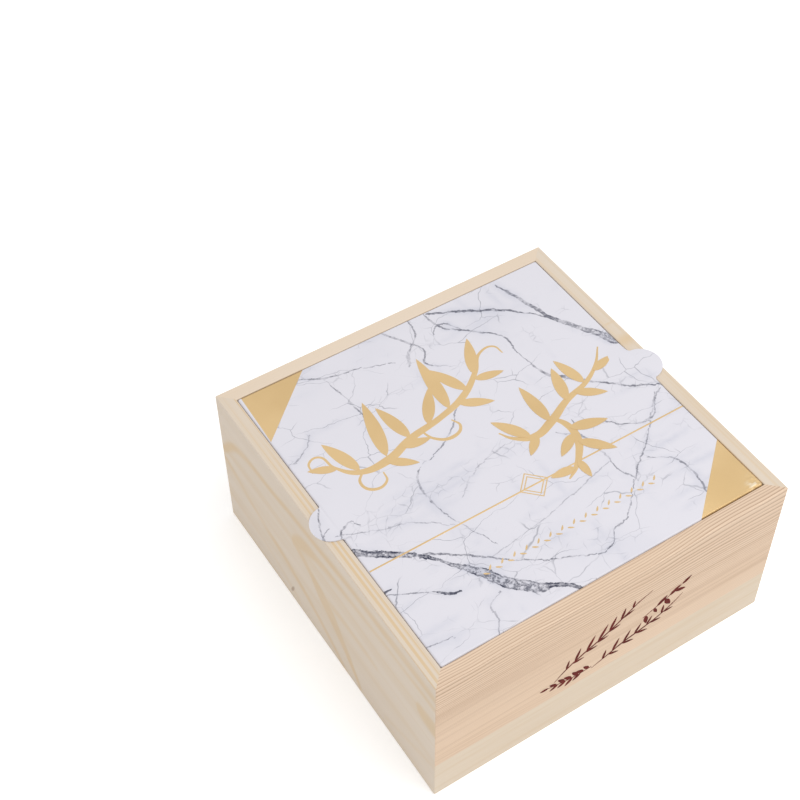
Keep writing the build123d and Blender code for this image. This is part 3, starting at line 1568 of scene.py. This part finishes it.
@dataclass(frozen=True)
class Leaf:
    """One leaf, modelled flat at the origin with its stalk end there and its tip along +X.

    Attributes:
        length: From stalk to tip, in millimetres.
        width: At its widest, in millimetres.
        thickness: Of the foil or ink, in millimetres.
        lean: How far the tip bends aside, as a share of the length.
        columns: How many steps shape its outline.
    """

    length: float
    width: float
    thickness: float
    lean: float = 0.12
    columns: int = 12

    def build(self, name: str) -> Thing:
        """Model the leaf from a grid whose columns are drawn in to its outline.

        Args:
            name: The piece's name.

        Returns:
            The leaf.
        """
        bpy.ops.mesh.primitive_grid_add(
            x_subdivisions=self.columns,
            y_subdivisions=4,
            size=1,
            location=(self.length * MM / 2, 0, 0),
        )
        bpy.context.object.scale = (self.length * MM, self.width * MM, 1)
        leaf = place_into_mesh(bpy.context.object, name)
        with editing(leaf):
            for column in range(self.columns + 1):
                share = column / self.columns
                along = share * self.length * MM
                pick(Element.CORNERS, lambda place, _: abs(place.x - along) < TINY)
                fullness = math.sin(math.pi * share**0.8) ** 0.8 if 0 < share < 1 else 0.0
                bpy.ops.transform.resize(value=(1, fullness, 1), center_override=(along, 0, 0))
                sway = self.lean * self.length * MM * share**2
                bpy.ops.transform.translate(value=(0, sway, 0))
            pick_all()
            bpy.ops.mesh.remove_doubles(threshold=MERGE)
        thicken(leaf, self.thickness * MM)
        smooth(leaf)
        return leaf


def lay_leaves(
    pattern: Thing, places: Sequence[tuple[float, ...]], origin: Vector, step: float, cycle: int
) -> list[Thing]:
    """Lay copies of a leaf, each a little clear of the one before.

    Args:
        pattern: A leaf a millimetre long and wide.
        places: (across, aside, length, width, turn in degrees) for each, in millimetres.
        origin: Where the millimetres start.
        step: How much higher each lies than the one before, in millimetres.
        cycle: After how many the height starts again.

    Returns:
        The leaves.
    """
    leaves = []
    for number, (across, aside, length, width, turn) in enumerate(places):
        size = Matrix.Diagonal((length, width, 1, 1))
        turned = Matrix.Rotation(math.radians(turn), 4, "Z")
        place = origin + Vector((across * MM, aside * MM, step * MM * (number % cycle)))
        leaves.append(copy_of(pattern, "leaf", Matrix.Translation(place) @ turned @ size))
    return leaves


@dataclass
class FoilCorner:
    """A triangle of gold foil over a corner of the lid, rolled over its edges.

    Attributes:
        name: The piece's name.
        tip: The lid's corner, as signs of X and Y.
        across: The triangle's reach along the front or back edge of the lid, in millimetres.
        deep: Its reach along the side edge of the lid, in millimetres.
        shy: How far the foil stops short of the side edge at the corner, in millimetres.
    """

    name: str
    tip: tuple[int, int]
    across: float
    deep: float
    shy: float = 0.0

    ROLLED_DOWN = 0.0015  # how far the foil comes down over the lid's edge, in metres
    THICKNESS = 0.00004

    def build(self, panel: Thing, sizes: BoxSizes) -> Thing:
        """Cut the foil out of a copy of the lid's skin and lift it clear.

        Args:
            panel: The lid's wrapped panel.
            sizes: The box's sizes.

        Returns:
            The foil.
        """
        foil = copy_of(panel, self.name, Matrix.Identity(4))
        side, end = self.tip
        lid_side, lid_end = sizes.core_half_width, sizes.core_half_depth
        front = Vector((side * (lid_side - self.across * MM), end * lid_end, 0))
        flank = Vector((side * lid_side, end * (lid_end - self.deep * MM), 0))
        along = (flank - front).normalized()
        inward = Vector((-side * abs(along.y), -end * abs(along.x), 0))
        with editing(foil):
            cut(front, inward, COARSE, clear_outer=True)
            cut((0, 0, sizes.rim - self.ROLLED_DOWN), (0, 0, 1), COARSE, clear_inner=True)
            if self.shy:
                corner_in = Vector((side * (lid_side - self.shy * MM), end * lid_end, 0))
                foot = flank - Vector((side * self.shy * MM / 4, 0, 0))
                slant = (foot - corner_in).normalized()
                outward = Vector((side * abs(slant.y), end * abs(slant.x), 0))
                cut(corner_in, outward, COARSE, clear_outer=True)
            pick(Element.FACES, lambda place, normal: normal.z < -0.5)
            bpy.ops.mesh.delete(type="FACE")
        thicken(foil, self.THICKNESS)
        smooth(foil)
        return foil


@dataclass
class GoldArtwork:
    """Everything pressed onto the lid in gold: corners, rule, diamond, leafy flourish and garland.

    Attributes:
        sizes: The box's sizes.
        rule_depth: How far back the rule lies, in millimetres.
        rule_width: The rule's width, in millimetres.
        diamond_centre: The diamond's middle, in millimetres.
        flatness: A stem's thickness as a share of its width.
    """

    sizes: BoxSizes
    rule_depth: float = 84.0
    rule_width: float = 1.15
    diamond_centre: tuple[float, float] = (125.6, 84.0)
    flatness: float = 0.03

    RULE_SINK, RULE_HEIGHT = 0.00002, 0.00008  # in metres
    DIAMONDS = (("outer", 10.4), ("inner", 7.7))  # their radius, in millimetres
    DIAMOND_LINE, DIAMOND_THICKNESS = 0.7, 0.05  # in millimetres
    LEAF_THICKNESS, LEAF_STEP = 0.09, 0.005  # in millimetres
    GARLAND_FIRST, GARLAND_LAST, GARLAND_DEEP = 64.0, 187.0, 48.0  # in millimetres
    GARLAND_COUNT, GARLAND_TURN = 30, 38  # how many leaves, and their turn in degrees

    STEMS = (
        BrushStroke(((20, 163, 0.9), (22, 171, 1.6), (29, 172, 1.6), (33, 160, 1.8),
                     (43, 149, 4.0), (62, 147, 6.0), (84, 154, 5.2), (108, 158, 4.2),
                     (130, 165, 4.8), (148, 178, 3.4), (160, 190, 1.8), (170, 190, 1.5),
                     (172, 182, 0.9))),
        BrushStroke(((131, 128, 1.0), (136, 120, 2.4), (148, 114, 5.2), (163, 118, 5.8),
                     (182, 127, 4.4), (202, 133, 3.2), (216, 142, 2.0), (226, 153, 0.9))),
        BrushStroke(((165, 121, 2.0), (170, 111, 4.6), (169, 99, 5.4), (162, 88, 4.4),
                     (153, 80, 2.8), (146, 76, 1.0))),
        BrushStroke(((47, 149, 1.2), (40, 141, 1.9), (44, 133, 2.2), (54, 134, 1.6),
                     (56, 141, 0.9))),
        BrushStroke(((92, 157, 1.2), (96, 146, 2.0), (106, 141, 2.6), (115, 146, 1.8),
                     (113, 153, 0.9))),
    )
    LEAVES = (
        (45, 150, 31, 8.6, 106), (64, 150, 46, 9.4, 76), (84, 155, 32, 8.4, 98),
        (99, 158, 30, 8.0, 54), (117, 161, 47, 9.2, 82), (135, 168, 31, 8.2, 112),
        (146, 177, 31, 8.0, 62), (34, 158, 18, 5.8, 152), (62, 147, 20, 6.4, -38),
        (124, 162, 23, 7.0, -30), (144, 173, 20, 6.4, -14), (76, 151, 19, 6.4, -12),
        (146, 115, 27, 8.2, 120), (163, 119, 33, 8.6, 88), (182, 127, 28, 8.2, 72),
        (200, 133, 26, 7.6, 100), (190, 130, 21, 6.8, -34), (211, 138, 18, 6.0, 12),
        (150, 114, 17, 6.0, -142), (170, 108, 25, 8.0, -18), (168, 97, 24, 7.6, -48),
        (169, 103, 20, 6.8, -150), (154, 81, 17, 6.4, 172), (159, 85, 15, 5.6, -96),
    )

    def build(self, panel: Thing) -> list[Thing]:
        """Model all the gold.

        Args:
            panel: The lid's wrapped panel, which the corners are cut from.

        Returns:
            The gold pieces.
        """
        back_left = FoilCorner("foil_corner_back_left", (-1, 1), 47.0, 42.0, shy=2.2)
        front_right = FoilCorner("foil_corner_front_right", (1, -1), 47.2, 41.5)
        return [
            back_left.build(panel, self.sizes),
            front_right.build(panel, self.sizes),
            self._rule(),
            self._diamond(),
            self._flourish(),
            self._garland(),
        ]

    def surface(self, across: float, deep: float) -> Vector:
        """A point of the lid's surface, given in millimetres."""
        return self.sizes.spot(across, deep, self.sizes.rim / MM)

    def _rule(self) -> Thing:
        """The thin rule from edge to edge, thinned at its ends.

        Returns:
            The rule.
        """
        reach = self.sizes.core_half_width - 0.0004
        height = self.RULE_HEIGHT
        centre = self.surface(self.sizes.width / MM / 2, self.rule_depth)
        middle = centre + Vector((0, 0, height / 2 - self.RULE_SINK))
        bpy.ops.mesh.primitive_cube_add(
            size=1, location=middle, scale=(2 * reach, self.rule_width * MM, height)
        )
        rule = place_into_mesh(bpy.context.object, "gold_rule")
        with editing(rule):
            pick(Element.EDGES, lambda place, _: place.z > middle.z + height / 4)
            bpy.ops.mesh.bevel(offset=height * 0.6, segments=2, affect="EDGES")
            pick(Element.CORNERS, lambda place, _: abs(place.x) > reach - 0.0003)
            bpy.ops.transform.resize(value=(1, 0.9, 1), center_override=middle)
        smooth(rule)
        return rule

    def _diamond(self) -> Thing:
        """Two outlined diamonds, one inside the other, on the rule.

        Returns:
            The diamonds, as one piece.
        """
        outlines = []
        for name, radius in self.DIAMONDS:
            bpy.ops.mesh.primitive_circle_add(
                vertices=4,
                radius=radius * MM,
                fill_type="NGON",
                location=self.surface(*self.diamond_centre),
            )
            outline = place_into_mesh(bpy.context.object, "diamond_" + name)
            with editing(outline):
                face_up()
                pick_all()
                bpy.ops.mesh.inset(thickness=self.DIAMOND_LINE * MM, depth=0)
                bpy.ops.mesh.delete(type="FACE")
            thicken(outline, self.DIAMOND_THICKNESS * MM)
            outlines.append(outline)
        diamond = join_all(outlines, "gold_diamond")
        smooth(diamond)
        return diamond

    def _flourish(self) -> Thing:
        """Two sprays of large leaves on swelling stems.

        Returns:
            The sprays, as one piece.
        """
        pieces = [
            stroke.build("stem", self.surface(0, 0), self.flatness) for stroke in self.STEMS
        ]
        pattern = Leaf(1.0, 1.0, self.LEAF_THICKNESS).build("leaf_pattern")
        count = len(self.LEAVES)
        pieces += lay_leaves(pattern, self.LEAVES, self.surface(0, 0), self.LEAF_STEP, count)
        bpy.data.objects.remove(pattern)
        return join_all(pieces, "gold_flourish")

    def _garland(self) -> Thing:
        """A row of small leaves where a line of small print would go.

        Returns:
            The row, as one piece.
        """
        pattern = Leaf(4.2, 1.15, 0.06).build("garland_leaf")
        pieces = []
        apart = (self.GARLAND_LAST - self.GARLAND_FIRST) / (self.GARLAND_COUNT - 1)
        for number in range(self.GARLAND_COUNT):
            across = self.GARLAND_FIRST + apart * number
            turn = math.radians(self.GARLAND_TURN if number % 2 else -self.GARLAND_TURN)
            there = Matrix.Translation(self.surface(across, self.GARLAND_DEEP))
            pieces.append(copy_of(pattern, "leaf", there @ Matrix.Rotation(turn, 4, "Z")))
        bpy.data.objects.remove(pattern)
        return join_all(pieces, "gold_garland")


@dataclass
class FrontMark:
    """The brown mark printed on the front wall: two long leafy sprays and two small sprigs.

    Attributes:
        sizes: The box's sizes.
        flatness: A stalk's thickness as a share of its width.
    """

    sizes: BoxSizes
    flatness: float = 0.05

    LEAF_THICKNESS = 0.05  # in millimetres
    LEAF_STEP, LEAF_CYCLE = 0.002, 12  # lift from leaf to leaf in millimetres, and its turns

    SPRAYS = (
        BrushStroke(((84, 51, 0.6), (92, 58, 1.4), (104, 65, 1.7), (117, 71, 1.6), (130, 79, 1.5),
                     (143, 88, 1.2), (152, 92, 0.5))),
        BrushStroke(((112, 42, 0.6), (122, 46, 1.4), (135, 51, 1.7), (148, 54, 1.6),
                     (161, 58, 1.4), (172, 64, 1.1), (178, 69, 0.5))),
    )
    SPRIGS = (
        BrushStroke(((148, 66, 0.8), (157, 70, 1.0), (168, 75, 0.9), (179, 81, 0.6))),
        BrushStroke(((112, 44, 0.8), (100, 44, 1.0), (88, 46, 0.9), (76, 49, 0.6))),
    )
    SPRAY_LEAVES = (
        (92, 58, 9.0, 1.9, 78), (98, 62, 12.0, 2.3, 72), (106, 66, 14.0, 2.5, 66),
        (114, 69.5, 15.0, 2.5, 64), (122, 74, 13.0, 2.4, 70), (130, 79, 11.0, 2.2, 76),
        (138, 85, 7.0, 1.8, 80), (96, 61, 9.0, 2.1, -4), (105, 65.5, 9.5, 2.1, -2),
        (113, 69, 9.0, 2.1, 2), (121, 73.5, 9.5, 2.1, 6), (131, 80, 9.0, 2.0, 14),
        (120, 45, 9.0, 2.1, 76), (127, 48, 12.0, 2.4, 68), (135, 51, 11.0, 2.3, 64),
        (143, 53, 9.5, 2.2, 60), (152, 55.5, 8.0, 2.0, 62), (124, 47, 9.0, 2.1, -22),
        (134, 50.5, 10.0, 2.2, -20), (144, 53, 10.0, 2.2, -18), (154, 56, 9.5, 2.1, -12),
        (164, 59.5, 8.0, 1.9, -4), (163, 59, 8.5, 2.0, 84),
    )
    RIGHT_LEAVES = (
        (150, 66.5, 9.0, 3.5, -82), (156, 69.5, 6.5, 2.5, -66), (158, 70.5, 9.5, 3.5, 38),
        (164, 73, 9.5, 3.7, -62), (167, 74.5, 9.5, 3.5, 34), (171, 76.5, 9.0, 3.2, -22),
        (176, 79.5, 8.0, 3.0, 32),
    )
    LEFT_LEAVES = (
        (110, 44, 7.0, 2.8, 128), (106, 44, 7.5, 3.0, 138), (102, 44, 8.0, 3.2, 126),
        (97, 44.5, 8.0, 3.0, 136), (92, 45.2, 8.0, 3.0, 130), (86, 46.3, 7.0, 2.8, 140),
        (104, 44, 7.0, 3.0, -150), (98, 44, 7.5, 3.0, -140), (93, 45, 7.0, 2.8, -156),
        (87, 46, 6.5, 2.5, -160), (80, 48, 6.5, 2.5, 172),
    )

    def build(self) -> list[Thing]:
        """Model the mark flat, then stand it up against the front wall.

        Returns:
            The sprays and the sprigs.
        """
        sprays = [stroke.build("stalk", Vector(), self.flatness) for stroke in self.SPRAYS]
        sprigs = [stroke.build("stalk", Vector(), self.flatness) for stroke in self.SPRIGS]
        pattern = Leaf(1.0, 1.0, self.LEAF_THICKNESS).build("sprig_pattern")
        lift = (Vector(), self.LEAF_STEP, self.LEAF_CYCLE)
        sprays += lay_leaves(pattern, self.SPRAY_LEAVES, *lift)
        sprigs += lay_leaves(pattern, self.RIGHT_LEAVES + self.LEFT_LEAVES, *lift)
        bpy.data.objects.remove(pattern)
        pieces = [join_all(sprays, "front_sprays"), join_all(sprigs, "front_sprigs")]
        stand = Matrix.Translation(self.sizes.spot(0, 0)) @ Matrix.Rotation(math.pi / 2, 4, "X")
        for piece in pieces:
            piece.data.transform(stand)
        return pieces


@dataclass
class Lid:
    """The whole lid: greyboard and liner from the frame, with the wrapped panel, tabs and gold.

    Attributes:
        nodes: The CAD nodes by name.
        sizes: The box's sizes.
    """

    nodes: dict[str, Thing]
    sizes: BoxSizes

    VEINS = (
        Mark(((4, 104, 3), (9, 101, 3.5), (27, 88, 4.8), (46, 73, 2.6), (54, 60, 3.2), (63, 49, 6),
              (71, 38, 8), (84, 24, 6.5), (93, 20, 3), (108, 7, 2.4))),
        Mark(((44, 78, 1.8), (56, 69, 1.4), (68, 60, 1.6), (88, 43, 1.0), (116, 29, 0.8),
              (133, 23, 0.9), (146, 32, 0.5)), depth=0.75),
        Mark(((150, 240, 8), (158, 236, 6.5), (172, 227, 4), (192, 216, 3), (214, 210, 2.4),
              (236, 203, 1.0)), Run.DEEP, 0.85),
        Mark(((150, 238, 1.4), (176, 224, 2.2), (200, 208, 1.8), (216, 191, 1.0)), depth=0.85),
        Mark(((104, 240, 1.2), (111, 229, 1.6), (126, 210, 1.6), (141, 195, 3.2), (152, 185, 2.6),
              (172, 181, 0.8), (194, 180, 1.3), (210, 165, 1.7), (226, 150, 1.6), (240, 148, 0.8)),
              Run.DEEP, 0.75),
        Mark(((143, 220, 0.8), (150, 226, 1.4), (164, 211, 0.6)), depth=0.7),
        Mark(((190, 138, 0.6), (202, 126, 1.8), (212, 131, 1.2), (222, 126, 2.0), (240, 115, 1.2)),
              Run.DEEP, 0.7),
        Mark(((204, 116, 0.9), (213, 120, 1.8), (226, 134, 1.2), (240, 137, 1.0)), Run.DEEP, 0.6),
        Mark(((50, 234, 0.7), (62, 227, 1.6), (76, 223, 0.9), (92, 219, 0.9), (109, 212, 0.5)),
              depth=0.7),
        Mark(((180, 69, 0.8), (196, 68, 1.4), (212, 66, 1.0), (225, 64, 0.5)), Run.DEEP, 0.65),
        Mark(((6, 175, 0.8), (24, 180, 0.8), (34, 190, 0.6)), depth=0.5),
        Mark(((60, 83, 0.5), (76, 77, 1.0), (96, 69, 0.9), (112, 68, 1.3), (130, 74, 1.3),
              (137, 92, 1.1), (150, 112, 0.9), (168, 130, 0.6)), Run.DEEP, 0.6),
        Mark(((8, 115, 1.0), (22, 109, 0.7), (36, 104, 0.9), (50, 100, 0.8), (70, 84, 0.5)),
              depth=0.5),
        Mark(((84, 100, 0.5), (108, 114, 0.9), (138, 119, 0.5)), depth=0.35),
        Mark(((160, 110, 0.5), (168, 103, 1.6), (178, 106, 1.8), (188, 102, 1.6), (200, 92, 1.0),
              (214, 87, 1.4), (231, 102, 0.8)), depth=0.7),
        Mark(((54, 179, 0.8), (70, 175, 1.0), (90, 175, 1.8), (100, 172, 1.6), (112, 175, 0.9)),
              Run.DEEP, 0.65),
        Mark(((146, 32, 0.7), (158, 36, 0.9), (178, 56, 1.1), (200, 72, 0.9), (226, 97, 1.2),
              (236, 103, 0.6)), depth=0.6),
        Mark(((24, 208, 0.8), (40, 211, 1.7), (54, 208, 1.4), (64, 196, 0.7)), Run.DEEP, 0.65),
        Mark(((7, 67, 1.6), (12, 67.2, 1.6), (15, 67.5, 0.6)), depth=0.95),
        Mark(((9, 66, 0.6), (22, 59, 0.9), (33, 53, 1.0)), depth=0.7),
        Mark(((33, 53, 0.9), (37, 50, 1.9), (42, 47, 2.3), (47, 45, 1.0)), depth=0.95),
        Mark(((6, 25, 1.0), (16, 24, 0.8), (27, 22, 0.5)), depth=0.7),
        Mark(((8, 46, 0.8), (16, 52, 1.1), (29, 56, 1.2), (33, 66, 0.6)), Run.DEEP, 0.55),
        Mark(((74, 54, 0.5), (104, 59, 0.7), (132, 64, 0.8), (174, 74, 0.6)), depth=0.4),
        Mark(((112, -1, 1.6), (118, 0, 1.2), (127, 3, 1.0), (138, 9, 1.2)), Run.DEEP, 0.8),
        Mark(((-2, 116, 0.6), (2, 119, 1.1), (7, 121, 0.6)), depth=0.7),
        Mark(((9, 112, 1.0), (14, 117, 1.8), (20, 119, 0.9), (24, 114, 0.6)), depth=0.75),
    )

    def build(self) -> None:
        """Model and dress the lid, and set it on its body."""
        wrapped = WrappedLid(self.sizes)
        panel = wrapped.build()
        gilding = GoldArtwork(self.sizes).build(panel)
        tab = FingerTab(self.sizes, wrapped.half_width)
        wrapped.lift_at_tabs(panel, tab.half_root)
        right_tab = tab.build()
        left_tab = copy_of(right_tab, "finger_tab_left", Matrix.Diagonal((-1, 1, 1, 1)))
        marble = MarbleFinish("marble_print", self.sizes.foot, self.VEINS).make()
        for piece in (panel, right_tab, left_tab):
            dress(piece, marble)
            self._seat(piece)
        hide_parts("lid_cover")
        corner = Vector((self.sizes.core_half_width, -self.sizes.core_half_depth, self.sizes.rim))
        gold = FoilFinish(tuple(corner)).make()
        for piece in gilding:
            dress(piece, gold)
            self._seat(piece)
        board = PlainFinish("greyboard", (0.42, 0.40, 0.37), (0.33, 0.31, 0.28), 700.0, 0.9)
        paper = PlainFinish("liner_paper", (0.80, 0.78, 0.74), (0.74, 0.72, 0.67), 900.0, 0.85)
        for name, finish in (("lid_core", board), ("lid_liner", paper)):
            dress(self.nodes[name], finish.make())
            log.info("lid: %s in %s", name, finish.name)

    def _seat(self, piece: Thing) -> None:
        """Set a piece on the lid's body and report it.

        Args:
            piece: The piece.
        """
        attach(piece, "lid")
        log.info("lid: %s, %d faces", piece.name, len(piece.data.polygons))


# ---------------------------------------------------------------- studio


@dataclass
class Studio:
    """The plain floor, the soft light and the camera.

    Attributes:
        azimuth: The camera's place round the box, in degrees.
        elevation: Its height above the horizon, in degrees.
        roll: How far it leans, in degrees.
        offset: The box's foot as the camera sees it: right, up and away, in metres.
        lens: The camera's focal length, in millimetres.
    """

    azimuth: float = -31.96
    elevation: float = 48.60
    roll: float = -0.90
    offset: Triple = (0.0581, -0.1041, 1.0051)
    lens: float = 67.72

    FLOOR_GLOW = 0.33
    SURROUND = 0.745
    LAMP_PLACE, LAMP_SIZE, LAMP_POWER = (0.5, -0.8, 1.9), 1.6, 16.0

    def build(self) -> None:
        """Set up the floor, the lights and the camera."""
        self._floor()
        self._lights()
        self._camera()

    def _floor(self) -> None:
        """A wide white floor under the box."""
        bpy.ops.object.select_all(action="DESELECT")
        bpy.ops.mesh.primitive_plane_add(size=8.0, location=(0, 0, -0.0001))
        floor = place_into_mesh(bpy.context.object, "studio_floor")
        recipe = Recipe("studio_floor")
        tone = recipe.ease(recipe.noise(recipe.place, 3.0), 0.3, 0.7)
        white = recipe.blend(tone, (0.93, 0.93, 0.93), (0.91, 0.91, 0.91))
        glow = recipe.blend(tone, (1.0, 1.0, 1.0), (0.98, 0.98, 0.98))
        paint = recipe.finish(
            Base_Color=white, Roughness=0.9, Emission_Color=glow, Emission_Strength=self.FLOOR_GLOW
        )
        dress(floor, paint)

    def _lights(self) -> None:
        """An even white surround, and one large soft lamp above and to the right of the front."""
        world = bpy.data.worlds.new("studio")
        world.use_nodes = True
        backdrop = world.node_tree.nodes["Background"]
        backdrop.inputs["Color"].default_value = (1, 1, 1, 1)
        backdrop.inputs["Strength"].default_value = self.SURROUND
        bpy.context.scene.world = world
        bpy.ops.object.light_add(type="AREA", location=self.LAMP_PLACE)
        lamp = bpy.context.object
        lamp.name = "front_lamp"
        lamp.data.shape = "DISK"
        lamp.data.size = self.LAMP_SIZE
        lamp.data.energy = self.LAMP_POWER
        lamp.rotation_euler = (-lamp.location).to_track_quat("-Z", "Y").to_euler()
        view = bpy.context.scene.view_settings
        view.view_transform = "Standard"
        view.look = "None"

    def _camera(self) -> None:
        """Place the camera by its angles and the box's place in its view."""
        a, e, r = map(math.radians, (self.azimuth, self.elevation, self.roll))
        back = Vector((math.sin(a) * math.cos(e), -math.cos(a) * math.cos(e), math.sin(e)))
        level = Vector((0, 0, 1)).cross(back).normalized()
        upright = back.cross(level)
        right = math.cos(r) * level + math.sin(r) * upright
        up = math.cos(r) * upright - math.sin(r) * level
        x, y, away = self.offset
        eye = away * back - x * right - y * up
        bpy.ops.object.camera_add(location=eye)
        camera = bpy.context.object
        camera.name = "studio_camera"
        turned = Matrix((right, up, back)).transposed().to_4x4()
        camera.matrix_world = Matrix.Translation(eye) @ turned
        camera.data.lens = self.lens
        camera.data.sensor_width = 36.0
        camera.data.clip_start = 0.01
        bpy.context.scene.camera = camera


def main() -> None:
    """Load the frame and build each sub-assembly."""
    logging.basicConfig(level=logging.INFO, format="%(message)s")
    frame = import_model()
    sizes = BoxSizes.from_frame()
    nodes = frame["nodes"]
    PineBox(nodes, sizes).dress()
    Lid(nodes, sizes).build()
    ink = PlainFinish(
        "brown_print", (0.155, 0.020, 0.016), (0.085, 0.012, 0.009), 1500.0, 0.75, shine=0.12
    ).make()
    for piece in FrontMark(sizes).build():
        dress(piece, ink)
        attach(piece, "box")
        log.info("front wall: %s, %d faces", piece.name, len(piece.data.polygons))
    Studio().build()


if __name__ == "__main__":
    main()
